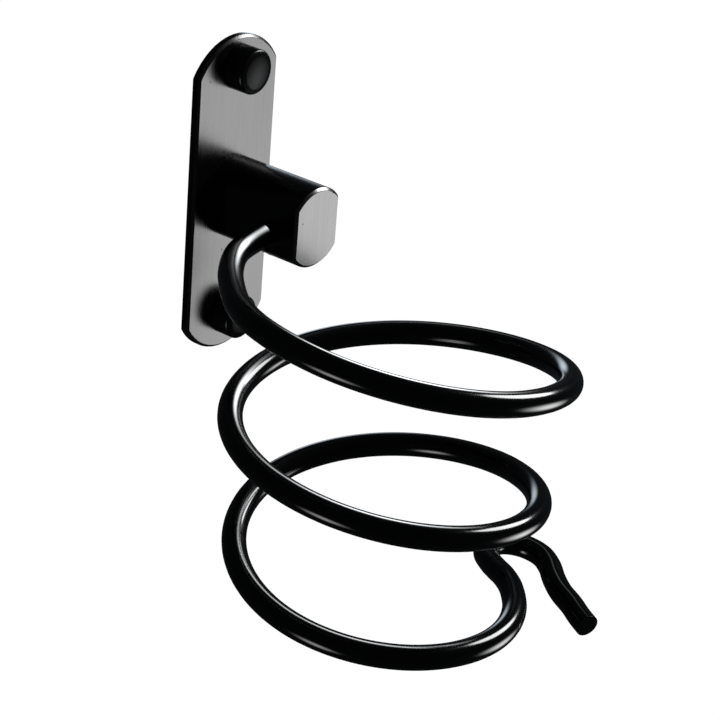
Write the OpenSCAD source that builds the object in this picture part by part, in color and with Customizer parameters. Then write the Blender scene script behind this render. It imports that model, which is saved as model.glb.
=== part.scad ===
// Wall-mounted hair dryer holder: a plate and a short arm carry a coil of round rod.
// The wall is the plane y = 0, the arm points along -Y, +Z is up.
// The origin is on the wall, at the middle of the plate.

/* [Wall plate] */
// Width of the plate
plate_w = 33; // [31:1:36]
// Height of the plate
plate_h = 95; // [92:1:110]
// Thickness of the plate
plate_t = 2.5; // [2.5:0.5:4]
// Radius of the rounded top and bottom ends
plate_end_r = 19; // [18.5:0.5:22]
// Chamfer around the front edge
plate_chamfer = 0.8; // [0.4:0.1:1]
// Distance between the two wall screws
wall_pitch = 75; // [70:1:76]
// How far the middle of the wall screws lies above the middle of the plate
wall_rise = 1; // [0:0.5:1]

/* [Arm] */
// Diameter of the bar that the arm is cut from
arm_d = 23.5; // [22:0.5:24]
// Width across the two flats
arm_w = 18.5; // [18:0.5:19]
// Distance from the wall to the end of the arm
arm_reach = 34; // [32:1:40]
// Chamfer around the end of the arm
arm_chamfer = 0.8; // [0.4:0.1:1]

/* [Rod] */
// Diameter of the rod
rod_d = 7; // [6.6:0.1:7]
// Distance from the wall to the place where the rod leaves the arm
rod_out = 22; // [21:0.5:23]
// Height of the rod where it leaves the arm
rod_level = -3.5; // [-3.5:0.5:-3]
// Distance from the wall to the middle of the coil
coil_out = 74; // [72:0.5:76]
// Chamfer at the free end of the rod
rod_chamfer = 0.5; // [0.3:0.1:0.8]

/* [Screw caps] */
// Diameter of a cap
cap_d = 13; // [12.6:0.2:14]
// Height of a cap
cap_h = 7; // [6.6:0.2:8]
// Bore for a wall screw
wall_bore_d = 4.6; // [4.2:0.1:5]

/* [Hidden] */
$fn = 64;
tiny = 0.01;
far = 200;

plate_mid = plate_h / 2 - plate_end_r;
upper_z = wall_rise + wall_pitch / 2;
lower_z = wall_rise - wall_pitch / 2;

// Countersunk screws that hold the arm from behind
screw_d = 4;
screw_l = 12;
screw_head_d = 7.5;
screw_head_h = (screw_head_d - screw_d) / 2;
screw_rim = 0.2;
screw_z = 6.5;
screw_hex = 2.5;
play = 0.05;

// Turned end of the rod inside the arm, and the grub screw under it
spigot_d = 6;
spigot_l = 12;
grub_d = 4;
grub_l = 4;
grub_x = -3.5;
grub_hex = 2;

// Plastic seat that the cap is pushed on
collar_d = 8;
neck_d = 10.4;
neck_h = 5;
floor_h = 1.7;
head_room_d = 8.6;
cap_gap = 0.1;
cap_roof = 1.4;
cap_dome = 0.6;
cap_round = 0.9;

// The coil is bent by hand over a mandrel. It starts at the arm, at 90 degrees,
// and turns to the left and down. Each row: angle, radius, height of the rod's axis.
coil_x = -arm_w / 2;
coil_rows = [
    [90, coil_out - rod_out, rod_level],
    [135, 47, -3.5],
    [180, 49.5, -2.5],
    [270, 45.5, -18],
    [360, 46.5, -33.5],
    [450, 46, -40],
    [540, 45, -46.5],
    [630, 42, -58],
    [720, 40.5, -67.5],
    [810, 42.5, -76],
    [900, 42, -87.5],
    [990, 39, -94.5],
    [1050, 37, -95.5]
];
coil_step = 15;
coil_last = 1035;

// The plug hook, seen from above: outwards from the coil, round a narrow bend and back
// towards the front. It falls evenly along its length.
hook_plan = [
    [21.5, -95], [24.5, -90], [27.5, -85.5], [31.5, -81], [37, -79], [42.5, -80.5], [46, -85],
    [46.5, -91], [44, -96], [40, -100.5], [36.5, -105.5], [34, -111], [31.5, -115.5]
];
hook_top = -95.5;
hook_fall = 0.7;
hook_route = [for (i = [0 : len(hook_plan) - 1])
    [hook_plan[i][0], hook_plan[i][1], hook_top - hook_fall * i]];
rod_end = [29.5, -120, hook_top - hook_fall * len(hook_plan)];
route_splits = 2;
rod_sides = 12;

// Value of one column of coil_rows at an angle, on a smooth curve through the rows
function row_slope(i, col) =
    i == 0 ? 0
    : let (j = min(i + 1, len(coil_rows) - 1))
      (coil_rows[j][col] - coil_rows[i - 1][col]) / (coil_rows[j][0] - coil_rows[i - 1][0]);
function row_before(angle) =
    max([for (i = [0 : len(coil_rows) - 2]) if (coil_rows[i][0] <= angle) i]);
function blend(a, b, slope_a, slope_b, span, t) =
    a * (2 * pow(t, 3) - 3 * t * t + 1) + b * (3 * t * t - 2 * pow(t, 3))
    + span * (slope_a * (pow(t, 3) - 2 * t * t + t) + slope_b * (pow(t, 3) - t * t));
function coil_value(angle, col) =
    let (i = row_before(angle),
         span = coil_rows[i + 1][0] - coil_rows[i][0])
    blend(coil_rows[i][col], coil_rows[i + 1][col], row_slope(i, col), row_slope(i + 1, col),
          span, (angle - coil_rows[i][0]) / span);
function coil_point(angle) =
    let (radius = coil_value(angle, 1))
    [coil_x + radius * cos(angle), -coil_out + radius * sin(angle), coil_value(angle, 2)];

// The whole route, and extra points between each two on a smooth curve
route = concat([for (a = [90 : coil_step : coil_last]) coil_point(a)], hook_route, [rod_end]);
function route_slope(i) = (route[min(i + 1, len(route) - 1)] - route[max(i - 1, 0)]) / 2;
axis_points = [
    for (i = [0 : len(route) - 2], k = [0 : route_splits - 1])
        blend(route[i], route[i + 1], route_slope(i), route_slope(i + 1), 1, k / route_splits),
    rod_end
];
last_point = len(axis_points) - 1;
function unit(v) = v / norm(v);
function rod_dir(i) =
    i == 0 ? [-1, 0, 0]
    : unit(axis_points[min(i + 1, last_point)] - axis_points[i - 1]);
function ring(centre, dir, radius) =
    let (side = unit(cross(dir, [0, 0, 1])), rise = cross(side, dir))
    [for (k = [0 : rod_sides - 1])
        let (a = 360 * (k + 0.5) / rod_sides)
        centre + radius * (cos(a) * side + sin(a) * rise)];

// A straight bar along Y with its middle on the axis, from near to far off the wall
module along_wall_axis(from_y) {
    translate([0, from_y, 0])
        rotate([90, 0, 0])
            children();
}

// A disc or bar about the Y axis whose front rim is chamfered
module chamfered_round(radius, height, chamfer) {
    along_wall_axis(0)
        rotate_extrude()
            polygon([[0, 0], [radius, 0], [radius, height - chamfer],
                     [radius - chamfer, height], [0, height]]);
}

// A bar along Z whose two front edges are chamfered, seen from above
module chamfered_slab(width, depth, chamfer, height) {
    half = width / 2;
    translate([0, 0, -height / 2])
        linear_extrude(height)
            polygon([[-half, 0], [half, 0], [half, chamfer - depth], [half - chamfer, -depth],
                     [chamfer - half, -depth], [-half, chamfer - depth]]);
}

module plate_ends() {
    for (z = [-plate_mid, plate_mid])
        translate([0, 0, z])
            chamfered_round(plate_end_r, plate_t, plate_chamfer);
    translate([-plate_w, -plate_t, -plate_mid])
        cube([2 * plate_w, plate_t, 2 * plate_mid]);
}

module screw_profile(grow) {
    rotate_extrude()
        polygon([[0, -grow], [screw_head_d / 2 + grow, -grow],
                 [screw_head_d / 2 + grow, screw_rim + grow / 2],
                 [screw_d / 2 + grow, screw_rim + screw_head_h + grow / 2],
                 [screw_d / 2 + grow, screw_l + grow], [0, screw_l + grow]]);
}

module at_arm_screws() {
    for (z = [-screw_z, screw_z])
        translate([0, 0, z])
            along_wall_axis(-play)
                children();
}

module wall_plate() {
    color("#1b1c1e")
        difference() {
            intersection() {
                chamfered_slab(plate_w, plate_t, plate_chamfer, plate_h);
                plate_ends();
            }
            at_arm_screws()
                screw_profile(play);
            for (z = [lower_z, upper_z])
                translate([0, 0, z])
                    along_wall_axis(tiny)
                        cylinder(d = collar_d, h = plate_t + 2 * tiny);
        }
}

module arm_post() {
    color("#141517")
        difference() {
            intersection() {
                chamfered_round(arm_d / 2, arm_reach, arm_chamfer);
                chamfered_slab(arm_w, arm_reach, arm_chamfer, 2 * arm_d);
                translate([-far / 2, -far - plate_t, -far / 2])
                    cube(far);
            }
            at_arm_screws()
                screw_profile(play);
            translate([coil_x - tiny, -rod_out, rod_level])
                rotate([0, 90, 0])
                    cylinder(r = spigot_d / 2 + play, h = spigot_l + play + tiny);
            translate([grub_x, -rod_out, rod_level - arm_d])
                cylinder(r = grub_d / 2 + play, h = arm_d);
        }
}

module arm_screws() {
    color("#6b6e70")
        at_arm_screws()
            difference() {
                screw_profile(0);
                translate([0, 0, -tiny])
                    cylinder(d = screw_hex / cos(30), h = 1.3, $fn = 6);
            }
}

module rod_sweep() {
    rings = [
        for (i = [0 : last_point - 1]) ring(axis_points[i], rod_dir(i), rod_d / 2),
        ring(rod_end - rod_chamfer * rod_dir(last_point), rod_dir(last_point), rod_d / 2),
        ring(rod_end, rod_dir(last_point), rod_d / 2 - rod_chamfer)
    ];
    count = len(rings);
    corners = [for (r = rings, p = r) p];
    sides = [
        for (i = [0 : count - 2], k = [0 : rod_sides - 1])
            let (n = (k + 1) % rod_sides, a = i * rod_sides, b = (i + 1) * rod_sides)
            each [[a + k, a + n, b + n], [a + k, b + n, b + k]]
    ];
    front = [for (k = [rod_sides - 1 : -1 : 0]) k];
    back = [for (k = [0 : rod_sides - 1]) (count - 1) * rod_sides + k];
    polyhedron(corners, concat(sides, [front, back]));
}

module coil_rod() {
    color("#0f1012") {
        rod_sweep();
        translate([coil_x - 1, -rod_out, rod_level])
            rotate([0, 90, 0])
                cylinder(d = spigot_d, h = spigot_l + 1);
    }
}

module rod_grub_screw() {
    color("#6b6e70")
        translate([grub_x, -rod_out, rod_level - spigot_d / 2 - grub_l])
            difference() {
                cylinder(d = grub_d, h = grub_l);
                translate([0, 0, -tiny])
                    cylinder(d = grub_hex / cos(30), h = 1.5, $fn = 6);
            }
}

module cap_seat(z) {
    color("#2a2b2d")
        translate([0, 0, z])
            along_wall_axis(0)
                difference() {
                    union() {
                        cylinder(d = collar_d - 2 * play, h = plate_t + 1);
                        translate([0, 0, plate_t])
                            cylinder(d = neck_d, h = neck_h);
                    }
                    translate([0, 0, -1])
                        cylinder(d = wall_bore_d, h = plate_t + neck_h + 2);
                    translate([0, 0, plate_t + floor_h])
                        cylinder(d = head_room_d, h = neck_h);
                }
}

module screw_cap(z) {
    cap_r = cap_d / 2;
    low = plate_t + cap_gap;
    high = plate_t + cap_h;
    shoulder = high - cap_dome;
    dome_r = (pow(cap_r, 2) + pow(cap_dome, 2)) / (2 * cap_dome);
    color("#161719")
        translate([0, 0, z])
            along_wall_axis(0)
                difference() {
                    intersection() {
                        rotate_extrude()
                            union() {
                                translate([0, low])
                                    square([cap_r, shoulder - cap_round - low]);
                                square([cap_r - cap_round, high]);
                                translate([cap_r - cap_round, shoulder - cap_round])
                                    circle(r = cap_round);
                            }
                        translate([0, 0, high - dome_r])
                            sphere(r = dome_r, $fn = 128);
                        translate([0, 0, low])
                            cylinder(r = cap_r + 1, h = cap_h);
                    }
                    translate([0, 0, low - 1])
                        cylinder(r = neck_d / 2 + play, h = cap_h - cap_gap - cap_roof + 1);
                }
}

module upper_cap_seat() { cap_seat(upper_z); }
module lower_cap_seat() { cap_seat(lower_z); }
module upper_screw_cap() { screw_cap(upper_z); }
module lower_screw_cap() { screw_cap(lower_z); }

wall_plate();
arm_post();
arm_screws();
coil_rod();
rod_grub_screw();
upper_cap_seat();
lower_cap_seat();
upper_screw_cap();
lower_screw_cap();
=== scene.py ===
from math import cos, pi, radians, sin, sqrt

import bpy
from mathutils import Matrix, Vector


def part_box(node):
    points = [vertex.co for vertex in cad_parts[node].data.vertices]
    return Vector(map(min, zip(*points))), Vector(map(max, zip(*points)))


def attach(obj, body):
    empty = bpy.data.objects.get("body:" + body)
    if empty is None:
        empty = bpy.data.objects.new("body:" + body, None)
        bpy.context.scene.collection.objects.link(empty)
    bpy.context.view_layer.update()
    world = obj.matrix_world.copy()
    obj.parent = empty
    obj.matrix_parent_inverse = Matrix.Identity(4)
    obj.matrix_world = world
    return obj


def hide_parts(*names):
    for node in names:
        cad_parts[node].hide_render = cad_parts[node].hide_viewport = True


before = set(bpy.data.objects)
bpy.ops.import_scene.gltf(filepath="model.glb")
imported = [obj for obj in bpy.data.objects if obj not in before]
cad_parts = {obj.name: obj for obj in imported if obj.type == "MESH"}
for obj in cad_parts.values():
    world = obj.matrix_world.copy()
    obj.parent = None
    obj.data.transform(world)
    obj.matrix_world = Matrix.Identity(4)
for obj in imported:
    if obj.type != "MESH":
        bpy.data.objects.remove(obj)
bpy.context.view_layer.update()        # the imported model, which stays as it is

mm = 0.001
near = 0.02 * mm        # closer than this counts as the same place
faceOn = 0.6            # a normal with more than this along Y faces the room or the wall


# selecting and editing, always from a clean start

def deselectAll():
    if bpy.context.mode != "OBJECT":
        bpy.ops.object.mode_set(mode="OBJECT")
    bpy.ops.object.select_all(action="DESELECT")


def activate(piece):
    deselectAll()
    piece.select_set(True)
    bpy.context.view_layer.objects.active = piece


def openMesh(piece, kind):
    activate(piece)
    bpy.ops.object.mode_set(mode="EDIT")
    bpy.ops.mesh.select_mode(type=kind)
    bpy.ops.mesh.select_all(action="DESELECT")
    bpy.ops.object.mode_set(mode="OBJECT")


def closeMesh():
    bpy.ops.object.mode_set(mode="OBJECT")


def pickVerts(piece, test):
    openMesh(piece, "VERT")
    for v in piece.data.vertices:
        v.select = test(v.co)
    bpy.ops.object.mode_set(mode="EDIT")


def pickFaces(piece, test):
    openMesh(piece, "FACE")
    for f in piece.data.polygons:
        f.select = test(f.center, f.normal)
    bpy.ops.object.mode_set(mode="EDIT")


def pickEdges(piece, test):
    openMesh(piece, "EDGE")
    points = piece.data.vertices
    for e in piece.data.edges:
        e.select = test(points[e.vertices[0]].co, points[e.vertices[1]].co)
    bpy.ops.object.mode_set(mode="EDIT")


def placeInMesh(piece):
    activate(piece)
    bpy.ops.object.transform_apply(location=True, rotation=True, scale=True)


def cutAway(piece, point, normal):      # keeps what lies behind the plane and closes the cut
    activate(piece)
    bpy.ops.object.mode_set(mode="EDIT")
    bpy.ops.mesh.select_all(action="SELECT")
    bpy.ops.mesh.bisect(plane_co=point, plane_no=normal, use_fill=True, clear_outer=True)
    closeMesh()


def applyAll(piece):
    activate(piece)
    for m in list(piece.modifiers):
        bpy.ops.object.modifier_apply(modifier=m.name)


def barAlong(axis, name, radius, start, end, centre, sides=64):    # a round bar, to shape or to cut with
    turn = {"x": (0, pi / 2, 0), "y": (pi / 2, 0, 0), "z": (0, 0, 0)}[axis]
    place = Vector(centre)
    place["xyz".index(axis)] = (start + end) / 2
    deselectAll()
    bpy.ops.mesh.primitive_cylinder_add(vertices=sides, radius=radius, depth=abs(end - start),
                                        location=place, rotation=turn)
    bar = bpy.context.object
    bar.name = bar.data.name = name
    placeInMesh(bar)
    return bar


def drill(piece, *cutters):
    for cutter in cutters:
        hole = piece.modifiers.new("hole", "BOOLEAN")
        hole.operation = "DIFFERENCE"
        hole.solver = "EXACT"
        hole.object = cutter
    applyAll(piece)
    for cutter in cutters:
        bpy.data.objects.remove(cutter)


def softenEdges(piece, width, steps=3, angle=28):
    bevel = piece.modifiers.new("soft edges", "BEVEL")
    bevel.width = width
    bevel.segments = steps
    bevel.limit_method = "ANGLE"
    bevel.angle_limit = radians(angle)
    applyAll(piece)


def mergeNear(piece):       # clears the slivers that cutting leaves
    pickVerts(piece, lambda co: True)
    bpy.ops.mesh.remove_doubles(threshold=near)
    closeMesh()


def smoothShade(piece, angle=40, weight=90):    # flat faces stay flat, and rounded edges run into them
    activate(piece)
    bpy.ops.object.shade_smooth_by_angle(angle=radians(angle))
    weights = piece.modifiers.new("even shading", "WEIGHTED_NORMAL")
    weights.keep_sharp = True
    weights.weight = weight
    applyAll(piece)


def turnedPiece(name, profile, centre, steps=96):    # profile rows: radius, distance from the wall
    deselectAll()
    bpy.ops.mesh.primitive_plane_add(size=mm)
    piece = bpy.context.object
    piece.name = piece.data.name = name
    first = Vector((profile[0][0], -profile[0][1], 0)) + centre
    pickVerts(piece, lambda co: co.x > 0 or co.y > 0)
    bpy.ops.mesh.delete(type="VERT")
    closeMesh()
    piece.data.vertices[0].co = first
    bpy.ops.object.mode_set(mode="EDIT")
    bpy.ops.mesh.select_all(action="SELECT")
    for (r0, y0), (r1, y1) in zip(profile, profile[1:]):
        bpy.ops.mesh.extrude_region_move(TRANSFORM_OT_translate={"value": (r1 - r0, y0 - y1, 0)})
    bpy.ops.mesh.select_all(action="SELECT")
    bpy.ops.mesh.spin(steps=steps, angle=2 * pi, center=centre, axis=(0, 1, 0))
    bpy.ops.mesh.select_all(action="SELECT")
    bpy.ops.mesh.remove_doubles(threshold=near)
    bpy.ops.mesh.normals_make_consistent(inside=False)
    closeMesh()
    placeInMesh(piece)
    return piece


def handOver(piece, body, slot, paint, *nodes, sides=None):     # sides is for faces that look along the wall
    piece.data.materials.clear()
    piece.data.materials.append(paint)
    if sides:
        piece.data.materials.append(sides)
        for face in piece.data.polygons:
            face.material_index = 0 if abs(face.normal.y) > faceOn else 1
    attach(piece, body)
    if nodes:
        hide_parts(*nodes)


# finishes: a wire is a socket that can take part in sums, and a paint is one material

def grey(level):
    return (level, level, level, 1)


class Wire:
    def __init__(self, tree, socket):
        self.tree = tree
        self.socket = socket

    def maths(self, operation, first, second):
        return self.tree.node("ShaderNodeMath", {"operation": operation}, {0: first, 1: second})

    def __add__(self, other):
        return self.maths("ADD", self, other)

    def __radd__(self, other):
        return self.maths("ADD", other, self)

    def __mul__(self, other):
        return self.maths("MULTIPLY", self, other)

    def __rmul__(self, other):
        return self.maths("MULTIPLY", other, self)

    def __gt__(self, other):
        return self.maths("GREATER_THAN", self, other)

    def __lt__(self, other):
        return self.maths("LESS_THAN", self, other)


class Tree:     # the nodes of a paint, a lamp or the room
    def __init__(self, tree):
        self.nodes = tree.nodes
        self.links = tree.links

    def connect(self, node, key, value):
        if isinstance(value, Wire):
            self.links.new(value.socket, node.inputs[key])
        else:
            node.inputs[key].default_value = value

    def node(self, kind, settings=None, values=None, output=0):
        node = self.nodes.new(kind)
        for key, value in (settings or {}).items():
            setattr(node, key, value)
        for key, value in (values or {}).items():
            self.connect(node, key, value)
        return Wire(self, node.outputs[output])

    def mixed(self, share, first, second):
        return self.node("ShaderNodeMix", {"data_type": "RGBA"}, {0: share, 6: first, 7: second}, 2)


class Paint(Tree):
    def __init__(self, name, **fixed):
        self.material = bpy.data.materials.new(name)
        self.material.use_nodes = True
        super().__init__(self.material.node_tree)
        self.shader = self.nodes["Principled BSDF"]
        self.place = self.node("ShaderNodeTexCoord", output="Object")
        for socket, value in fixed.items():
            self.shader.inputs[socket.replace("_", " ")].default_value = value

    def noise(self, size, detail=2.0, roughness=0.5, at=None):
        return self.node("ShaderNodeTexNoise", {}, {"Vector": at or self.place, "Scale": 1 / size,
                         "Detail": detail, "Roughness": roughness})

    def stretched(self, sizes):
        return self.node("ShaderNodeMapping", {"vector_type": "POINT"},
                         {"Vector": self.place, "Scale": [1 / s for s in sizes]})

    def specks(self, spacing, radius, share):
        cell = {"Vector": self.place, "Scale": 1 / spacing, "Randomness": 1.0}
        middle = self.node("ShaderNodeTexVoronoi", {"feature": "F1"}, cell, "Distance")
        pick = self.node("ShaderNodeTexVoronoi", {"feature": "F1"}, cell, "Color")
        chance = self.node("ShaderNodeSeparateColor", {}, {"Color": pick}, "Red")
        return (middle < radius / spacing) * (chance > 1 - share)

    def finish(self, colour, roughness, height, depth):
        bump = self.node("ShaderNodeBump", {}, {"Height": height, "Strength": 1.0, "Distance": depth})
        self.connect(self.shader, "Base Color", colour)
        self.connect(self.shader, "Roughness", roughness)
        self.connect(self.shader, "Normal", bump)
        return self.material


def blackEnamel(name, gloss):       # with the faint orange peel of a baked coat
    look = {"peelSize": 1.6 * mm, "peelDepth": 0.0016 * mm, "patch": 14 * mm, "fine": 0.35 * mm,
            "deep": (0.0014, 0.0015, 0.0018, 1), "pale": (0.0028, 0.0029, 0.0033, 1),
            "dust": (7 * mm, 0.09 * mm, 0.12), "dustShade": 0.03}
    paint = Paint(name, Metallic=0.0, IOR=1.5)
    patches = paint.noise(look["patch"], 3.0)
    fine = paint.noise(look["fine"], 2.0)
    dust = paint.specks(*look["dust"])
    colour = paint.mixed(patches, look["deep"], look["pale"])
    colour = paint.mixed(dust, colour, grey(look["dustShade"]))
    roughness = gloss + 0.05 * patches + 0.02 * fine + 0.2 * dust
    height = paint.noise(look["peelSize"], 1.0) + 0.06 * fine
    return paint.finish(colour, roughness, height, look["peelDepth"])


def brushedBlack(name, gloss, shine):      # black plated steel, brushed up and down
    look = {"line": (0.22 * mm, 0.22 * mm, 26 * mm), "band": (1.4 * mm, 1.4 * mm, 57.2 * mm),
            "cloud": 22 * mm, "uneven": 0.17, "depth": 0.0012 * mm,
            "dust": (3 * mm, 0.24 * mm, 0.2), "dustShade": 0.012}
    paint = Paint(name, Metallic=1.0, IOR=1.5)
    lines = paint.noise(1, 2.0, 0.6, paint.stretched(look["line"]))
    bands = paint.noise(1, 2.0, 0.5, paint.stretched(look["band"]))
    cloud = paint.noise(look["cloud"], 3.0)
    dust = paint.specks(*look["dust"])
    colour = paint.mixed(lines, grey((1 - look["uneven"]) * shine), grey((1 + look["uneven"]) * shine))
    colour = paint.mixed(dust, colour, grey(look["dustShade"]))
    roughness = gloss + 0.06 * lines + 0.05 * bands + 0.03 * cloud + 0.3 * dust
    height = lines + 1.6 * bands
    return paint.finish(colour, roughness, height, look["depth"])


def capSatin():         # satin black moulding with a fine spark-eroded grain
    look = {"grain": 0.25 * mm, "depth": 0.004 * mm, "cloud": 5 * mm, "gloss": 0.21,
            "deep": (0.0016, 0.0018, 0.0024, 1), "pale": (0.0030, 0.0033, 0.0042, 1),
            "dust": (3 * mm, 0.09 * mm, 0.12), "dustShade": 0.05}
    paint = Paint("capSatin", Metallic=0.0, IOR=1.4)
    grain = paint.noise(look["grain"], 3.0, 0.6)
    cloud = paint.noise(look["cloud"], 2.0)
    dust = paint.specks(*look["dust"])
    colour = paint.mixed(cloud, look["deep"], look["pale"])
    colour = paint.mixed(dust, colour, grey(look["dustShade"]))
    roughness = look["gloss"] + 0.07 * grain + 0.04 * cloud + 0.2 * dust
    return paint.finish(colour, roughness, grain, look["depth"])


def seatPlastic():      # dull black moulding under the caps
    look = {"grain": 0.3 * mm, "depth": 0.008 * mm, "cloud": 4 * mm, "gloss": 0.5,
            "deep": (0.016, 0.016, 0.017, 1), "pale": (0.026, 0.026, 0.028, 1)}
    paint = Paint("seatPlastic", Metallic=0.0, IOR=1.48)
    grain = paint.noise(look["grain"], 3.0, 0.6)
    cloud = paint.noise(look["cloud"], 2.0)
    colour = paint.mixed(cloud, look["deep"], look["pale"])
    return paint.finish(colour, look["gloss"] + 0.15 * grain, grain, look["depth"])


def screwSteel():       # zinc plated steel, a little clouded
    look = {"cloud": 1.8 * mm, "grain": 0.2 * mm, "depth": 0.002 * mm, "gloss": 0.26,
            "deep": (0.30, 0.31, 0.33, 1), "pale": (0.46, 0.47, 0.48, 1)}
    paint = Paint("screwSteel", Metallic=1.0, IOR=1.5)
    cloud = paint.noise(look["cloud"], 3.0)
    grain = paint.noise(look["grain"], 2.0)
    colour = paint.mixed(cloud, look["deep"], look["pale"])
    return paint.finish(colour, look["gloss"] + 0.16 * cloud + 0.08 * grain, grain, look["depth"])


rodPaint = blackEnamel("rodEnamel", 0.10)
sidePaint = blackEnamel("sideEnamel", 0.17)
platePaint = brushedBlack("plateBrushed", 0.20, 0.12)
armPaint = brushedBlack("armBrushed", 0.18, 0.155)
capPaint = capSatin()
seatPaint = seatPlastic()
steelPaint = screwSteel()
print("finishes made")


# the wall plate: a disc cut to width, then drawn apart to its height

plate = {"endRadius": 19 * mm, "sides": 192, "chamfer": 0.8 * mm, "edge": 0.12 * mm, "collarHole": 4 * mm}
armScrew = {"height": 6.5 * mm, "shank": 2.05 * mm, "depth": 12.1 * mm,
            "sinkRadius": 4.0 * mm, "sinkDepth": 2.4 * mm, "sinkProud": 0.2 * mm, "sinkSides": 64}


def widen(piece, reach):        # moves the upper half up and the lower half down
    for side in (1, -1):
        pickVerts(piece, lambda co: co.z * side > near)
        bpy.ops.transform.translate(value=(0, 0, side * reach))
        closeMesh()


def makePlate():
    low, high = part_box("wall_plate")
    piece = barAlong("y", "wallPlate", plate["endRadius"], low.y, high.y, (0, 0, 0), plate["sides"])
    cutAway(piece, (high.x, 0, 0), (1, 0, 0))
    cutAway(piece, (low.x, 0, 0), (-1, 0, 0))
    widen(piece, high.z - plate["endRadius"])
    pickEdges(piece, lambda a, b: a.y < low.y + near and b.y < low.y + near)
    bpy.ops.mesh.bevel(offset=plate["chamfer"], segments=1, affect="EDGES")
    closeMesh()
    softenEdges(piece, plate["edge"])
    front, back = low.y - mm, high.y + mm
    cutters = []
    for cap in ("upper_cap_seat", "lower_cap_seat"):
        seatLow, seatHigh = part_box(cap)
        level = (seatLow.z + seatHigh.z) / 2
        cutters.append(barAlong("y", "cutter", plate["collarHole"], front, back, (0, 0, level)))
    for level in (armScrew["height"], -armScrew["height"]):
        cutters.append(barAlong("y", "cutter", armScrew["shank"], front, back, (0, 0, level)))
        cutters.append(screwSink(level))
    drill(piece, *cutters)
    mergeNear(piece)
    smoothShade(piece)
    handOver(piece, "holder", "plate_finish", platePaint, "wall_plate", sides=sidePaint)


def screwSink(level):       # a cone that opens towards the wall
    deselectAll()
    wide, deep = armScrew["sinkRadius"], armScrew["sinkDepth"]
    bpy.ops.mesh.primitive_cone_add(vertices=armScrew["sinkSides"], radius1=wide, radius2=wide - deep,
                                    depth=deep, location=(0, armScrew["sinkProud"] - deep / 2, level),
                                    rotation=(pi / 2, 0, 0))
    cone = bpy.context.object
    placeInMesh(cone)
    return cone


# the arm: a bar with two flats, chamfered at its end and bored for the rod and its screws

arm = {"radius": 11.75 * mm, "sides": 160, "chamfer": 0.8 * mm, "edge": 0.12 * mm, "rodBore": 3.05 * mm,
       "grubBore": 2.05 * mm, "grubX": -3.5 * mm, "boreDepth": 12.05 * mm}
rodExit = Vector((-9.25, -22, -3.5)) * mm


def makeArm():
    low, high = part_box("arm_post")
    piece = barAlong("y", "armPost", arm["radius"], low.y, high.y, (0, 0, 0), arm["sides"])
    cutAway(piece, (high.x, 0, 0), (1, 0, 0))
    cutAway(piece, (low.x, 0, 0), (-1, 0, 0))
    pickEdges(piece, lambda a, b: a.y < low.y + near and b.y < low.y + near)
    bpy.ops.mesh.bevel(offset=arm["chamfer"], segments=1, affect="EDGES")
    closeMesh()
    softenEdges(piece, arm["edge"])
    cutters = [barAlong("x", "cutter", arm["rodBore"], low.x - mm, low.x + arm["boreDepth"], rodExit),
               barAlong("z", "cutter", arm["grubBore"], low.z - mm, rodExit.z, (arm["grubX"], rodExit.y, 0))]
    for level in (armScrew["height"], -armScrew["height"]):
        cutters.append(barAlong("y", "cutter", armScrew["shank"], high.y + mm, -armScrew["depth"],
                                (0, 0, level)))
    drill(piece, *cutters)
    smoothShade(piece)
    handOver(piece, "holder", "arm_finish", armPaint, "arm_post", sides=sidePaint)


# the rod: one bent bar on a smooth curve through stations from a fit, rounded to half a millimetre

rod = {"radius": 3.5 * mm, "chamfer": 0.5 * mm, "edge": 0.1 * mm, "edgeSteps": 2, "sharp": 30,
       "roundSteps": 14, "splits": 6, "spigotIn": 0.5 * mm, "spigot": 12 * mm, "capReach": 0.1 * mm}
coilMiddle = Vector((-9.25, -74, 0))
coilRows = [        # angle in degrees, then radius and height of the rod's axis in mm
    (90, 52, -3.5), (135, 47, -3.5), (180, 49.5, -2.5), (270, 45.5, -18), (360, 46.5, -33.5),
    (450, 46, -40), (540, 45, -46.5), (630, 42, -58), (720, 40.5, -67.5), (810, 42.5, -76),
    (900, 42, -87.5), (990, 39, -94.5), (1050, 37, -95.5)]
coilStep = 15
coilLast = 1035
hookPlan = [        # the plug hook seen from above, in mm; it falls evenly along its length
    (21.5, -95), (24.5, -90), (27.5, -85.5), (31.5, -81), (37, -79), (42.5, -80.5), (46, -85),
    (46.5, -91), (44, -96), (40, -100.5), (36.5, -105.5), (34, -111), (31.5, -115.5), (29.5, -120)]
hookTop = -95.5
hookFall = 0.7


def smoothValue(a, b, slopeA, slopeB, span, t):
    return (a * (2 * t**3 - 3 * t * t + 1) + b * (3 * t * t - 2 * t**3)
            + slopeA * (span * (t**3 - 2 * t * t + t)) + slopeB * (span * (t**3 - t * t)))


def rowSlope(i, column):
    if i == 0:
        return 0
    j = min(i + 1, len(coilRows) - 1)
    return (coilRows[j][column] - coilRows[i - 1][column]) / (coilRows[j][0] - coilRows[i - 1][0])


def coilValue(angle, column):
    i = max(k for k in range(len(coilRows) - 1) if coilRows[k][0] <= angle)
    span = coilRows[i + 1][0] - coilRows[i][0]
    return smoothValue(coilRows[i][column], coilRows[i + 1][column], rowSlope(i, column),
                       rowSlope(i + 1, column), span, (angle - coilRows[i][0]) / span)


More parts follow.
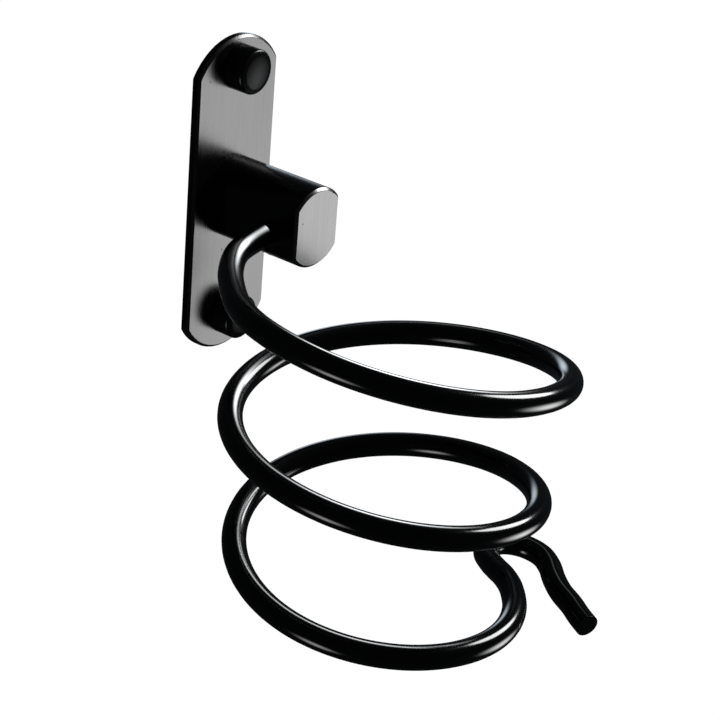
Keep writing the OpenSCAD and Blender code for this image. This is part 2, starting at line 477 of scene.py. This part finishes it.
def rodRoute():
    stations = []
    for angle in range(coilRows[0][0], coilLast + 1, coilStep):
        radius, turn = coilValue(angle, 1), radians(angle)
        stations.append(coilMiddle + Vector((radius * cos(turn), radius * sin(turn), coilValue(angle, 2))))
    stations += [Vector((x, y, hookTop - hookFall * i)) for i, (x, y) in enumerate(hookPlan)]
    last = len(stations) - 1
    slopes = [(stations[min(i + 1, last)] - stations[max(i - 1, 0)]) / 2 for i in range(last + 1)]
    route = [smoothValue(stations[i], stations[i + 1], slopes[i], slopes[i + 1], 1, k / rod["splits"])
             for i in range(last) for k in range(rod["splits"])]
    return [p * mm for p in route + [stations[last]]]


def makeRod():
    route = rodRoute()
    endDirection = (route[-1] - route[-2]).normalized()
    route[-1] -= endDirection * rod["chamfer"]
    deselectAll()
    bpy.ops.curve.primitive_nurbs_path_add()
    path = bpy.context.object
    path.name = "coilRod"
    path.data.splines.clear()
    line = path.data.splines.new("POLY")
    line.points.add(len(route) - 1)
    for point, place in zip(line.points, route):
        point.co = (*place, 1)
    path.data.dimensions = "3D"
    path.data.bevel_depth = rod["radius"]
    path.data.bevel_resolution = rod["roundSteps"]
    path.data.use_fill_caps = True
    activate(path)
    bpy.ops.object.convert(target="MESH")
    piece = bpy.context.object
    piece.data.name = "coilRod"
    bpy.ops.object.mode_set(mode="EDIT")
    bpy.ops.mesh.select_all(action="SELECT")
    bpy.ops.mesh.remove_doubles(threshold=near)
    bpy.ops.mesh.normals_make_consistent(inside=False)
    closeMesh()
    start, end = route[0], route[-1]
    pickFaces(piece, lambda c, n: (c - end).length < rod["capReach"])
    bpy.ops.mesh.extrude_region_move(TRANSFORM_OT_translate={"value": endDirection * rod["chamfer"]})
    shrink = 1 - rod["chamfer"] / rod["radius"]
    bpy.ops.transform.resize(value=(shrink, shrink, shrink))
    closeMesh()
    pickFaces(piece, lambda c, n: (c - start).length < rod["capReach"])
    bpy.ops.mesh.inset(thickness=rod["spigotIn"])
    bpy.ops.mesh.extrude_region_move(TRANSFORM_OT_translate={"value": (rod["spigot"], 0, 0)})
    closeMesh()
    softenEdges(piece, rod["edge"], rod["edgeSteps"], rod["sharp"])
    mergeNear(piece)
    smoothShade(piece, rod["sharp"])
    handOver(piece, "holder", "rod_enamel", rodPaint, "coil_rod")


# the two push-on screw caps: turned shells with a rounded rim and a low dome

cap = {"radius": 6.5 * mm, "bore": 5.25 * mm, "dome": 0.6 * mm, "rim": 0.9 * mm, "roof": 1.4 * mm,
       "lip": 0.15 * mm, "rimSteps": 8, "domeSteps": 10, "sharp": 35}


def capProfile(foot, top):     # from the middle of the bore's roof, out over the lip and up to the dome
    r, dome, rim = cap["radius"], cap["dome"], cap["rim"]
    ball = (r * r + dome * dome) / (2 * dome)
    shoulder = top - dome
    rows = [(0, top - cap["roof"]), (cap["bore"], top - cap["roof"]), (cap["bore"], foot + cap["lip"]),
            (cap["bore"] + cap["lip"], foot), (r - cap["lip"], foot), (r, foot + cap["lip"])]
    for i in range(cap["rimSteps"] + 1):
        turn = pi / 2 * i / cap["rimSteps"]
        out, up = r - rim + rim * cos(turn), shoulder - rim + rim * sin(turn)
        if up < top - ball + sqrt(ball * ball - out * out):
            rows.append((out, up))
    edge = rows[-1][0]
    for i in range(1, cap["domeSteps"] + 1):
        out = edge * (1 - i / cap["domeSteps"])
        rows.append((out, top - ball + sqrt(ball * ball - out * out)))
    return rows


def makeCap(name, node, body):
    low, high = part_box(node)
    centre = Vector((0, 0, (low.z + high.z) / 2))
    piece = turnedPiece(name, capProfile(-high.y, -low.y), centre)
    activate(piece)
    bpy.ops.object.shade_smooth_by_angle(angle=radians(cap["sharp"]))
    handOver(piece, body, "cap_finish", capPaint, node)


makePlate()
makeArm()
print("plate and arm made")
makeRod()
print("rod made")
makeCap("upperCap", "upper_screw_cap", "upper_cap")
makeCap("lowerCap", "lower_screw_cap", "lower_cap")
print("caps made")

for node, paint in {"arm_screws": steelPaint, "rod_grub_screw": steelPaint,
                    "upper_cap_seat": seatPaint, "lower_cap_seat": seatPaint}.items():
    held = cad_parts[node]
    held.data.materials.clear()
    held.data.materials.append(paint)


# studio: a pale floor, soft boxes and a long lens from the left and above

studio = {"floorLevel": -1.4, "floorSize": 80, "floorParts": 8, "floorShade": 0.4, "glow": 1.0,
          "floorDeep": 0.80, "floorPale": 0.84, "roomGlow": 0.02, "roomTint": (0.8, 0.9, 1.0)}
plainBox = {        # what a soft box has unless it says otherwise: distances in metres, angles in degrees
    "around": (0, -0.06, -0.04), "away": 0.75, "roll": 0, "spread": 180, "tint": (1, 1, 1), "even": 0.0}
softBoxes = {       # glow is the brightness in the middle, and even the share of the width that keeps it
    "keyBox": dict(azimuth=74.5, elevation=32, size=(0.29, 0.43), roll=42, glow=15, even=0.8),
    "nearKey": dict(azimuth=100, elevation=24, size=(0.13, 0.12), glow=3.5, even=0.05, away=0.16,
                    around=(-0.02, -0.04, 0), spread=68, tint=(0.95, 0.98, 1), passes=("armPost",),
                    only=("coilRod",)),
    "frontLow": dict(azimuth=48.5, elevation=-24.5, size=(0.66, 0.50), roll=-20, glow=7.6,
                     misses=("wallPlate", "armPost", "upperCap", "lowerCap")),
    "plateFill": dict(azimuth=52, elevation=-21.5, size=(0.68, 0.68), glow=2.95, even=0.5,
                      only=("wallPlate", "armPost")),
    "capFill": dict(azimuth=52, elevation=-19, size=(0.44, 0.48), glow=1.7, tint=(0.96, 0.98, 1),
                    only=("upperCap", "lowerCap")),
    "backGlow": dict(azimuth=136, elevation=3, size=(0.34, 0.42), glow=2.8, even=0.1, tint=(0.80, 0.9, 1)),
    "wallSide": dict(azimuth=158, elevation=-12, size=(0.9, 0.7), glow=1.0, even=0.3, tint=(0.92, 0.96, 1),
                     only=("wallPlate", "arm_screws")),
    "leftLow": dict(azimuth=-91.5, elevation=-33, size=(0.46, 0.48), glow=5.4,
                    misses=("wallPlate", "armPost")),
}
view = {"azimuth": -53.24, "elevation": 26.18, "roll": 4.87, "lens": 118.1, "sensor": 36,
        "place": (-0.475, -0.4075, 0.2575), "nearest": 0.01, "farthest": 200}


def directionOf(azimuth, elevation):
    a, e = radians(azimuth), radians(elevation)
    return Vector((sin(a) * cos(e), -cos(a) * cos(e), sin(e)))


def turnOf(azimuth, elevation, roll):       # for what looks down its own -Z at the object
    return (Matrix.Rotation(radians(azimuth), 4, "Z") @ Matrix.Rotation(radians(90 - elevation), 4, "X")
            @ Matrix.Rotation(radians(roll), 4, "Z"))


def fadeToEdges(lamp, even):        # bright in the middle, dark at the rim of the cloth
    lamp.use_nodes = True
    cloth = Tree(lamp.node_tree)
    across = cloth.node("ShaderNodeNewGeometry", output="Parametric")
    centred = cloth.node("ShaderNodeVectorMath", {"operation": "SUBTRACT"}, {0: across, 1: (0.5, 0.5, 0)})
    out = cloth.node("ShaderNodeVectorMath", {"operation": "LENGTH"}, {0: centred}, "Value")
    fade = cloth.node("ShaderNodeMapRange", {"interpolation_type": "SMOOTHSTEP"},
                      {"Value": out, "From Min": even / 2, "From Max": 0.5, "To Min": 1, "To Max": 0},
                      "Result")
    cloth.connect(cloth.nodes["Emission"], "Strength", fade)


def linkedPieces(name, pieces, state):
    group = bpy.data.collections.new(name)
    for piece in pieces:
        group.objects.link(bpy.data.objects[piece])
    for link in group.collection_objects:
        link.light_linking.link_state = state
    return group


def makeSoftBox(name, box):
    deselectAll()
    bpy.ops.object.light_add(type="AREA")
    lamp = bpy.context.object
    lamp.name = name
    place = Vector(box["around"]) + directionOf(box["azimuth"], box["elevation"]) * box["away"]
    lamp.matrix_world = Matrix.Translation(place) @ turnOf(box["azimuth"], box["elevation"], box["roll"])
    lamp.data.shape = "RECTANGLE"
    lamp.data.size, lamp.data.size_y = box["size"]
    lamp.data.energy = box["glow"] * pi * box["size"][0] * box["size"][1]
    lamp.data.color = box["tint"]
    lamp.data.spread = radians(box["spread"])
    lamp.visible_camera = False
    fadeToEdges(lamp.data, box["even"])
    if "passes" in box:     # what this light shines past
        lamp.light_linking.blocker_collection = linkedPieces(name + " passes", box["passes"], "EXCLUDE")
    if "only" in box:       # what this light falls on
        lamp.light_linking.receiver_collection = linkedPieces(name + " only", box["only"], "INCLUDE")
    if "misses" in box:     # what this light leaves out
        lamp.light_linking.receiver_collection = linkedPieces(name + " misses", box["misses"], "EXCLUDE")


def makeFloor():
    deselectAll()
    bpy.ops.mesh.primitive_grid_add(x_subdivisions=studio["floorParts"], y_subdivisions=studio["floorParts"],
                                    size=studio["floorSize"], location=(0, 0, studio["floorLevel"]))
    floor = bpy.context.object
    floor.name = "floor"
    placeInMesh(floor)
    paint = Paint("paleFloor", Emission_Strength=studio["glow"], Emission_Color=grey(1))
    shade = paint.noise(studio["floorShade"], 2.0)
    colour = paint.mixed(shade, grey(studio["floorDeep"]), grey(studio["floorPale"]))
    paint.connect(paint.shader, "Base Color", colour)
    floor.data.materials.append(paint.material)
    floor.visible_glossy = False
    floor.visible_diffuse = False


def makeRoom():         # white to look at, and nearly dark in the reflections
    world = bpy.data.worlds.new("room")
    world.use_nodes = True
    bpy.context.scene.world = world
    room = Tree(world.node_tree)
    seen = room.node("ShaderNodeLightPath", output="Is Camera Ray")
    reflected = [studio["roomGlow"] * c for c in studio["roomTint"]] + [1]
    room.connect(room.nodes["Background"], "Color", room.mixed(seen, reflected, grey(1)))


def makeCamera():
    deselectAll()
    bpy.ops.object.camera_add()
    camera = bpy.context.object
    camera.name = "camera"
    camera.matrix_world = (Matrix.Translation(view["place"])
                           @ turnOf(view["azimuth"], view["elevation"], view["roll"]))
    camera.data.lens = view["lens"]
    camera.data.sensor_width = view["sensor"]
    camera.data.clip_start = view["nearest"]
    camera.data.clip_end = view["farthest"]
    bpy.context.scene.camera = camera


for name, box in softBoxes.items():
    makeSoftBox(name, {**plainBox, **box})
makeFloor()
makeRoom()
makeCamera()
bpy.context.scene.view_settings.view_transform = "Standard"
print("studio made")
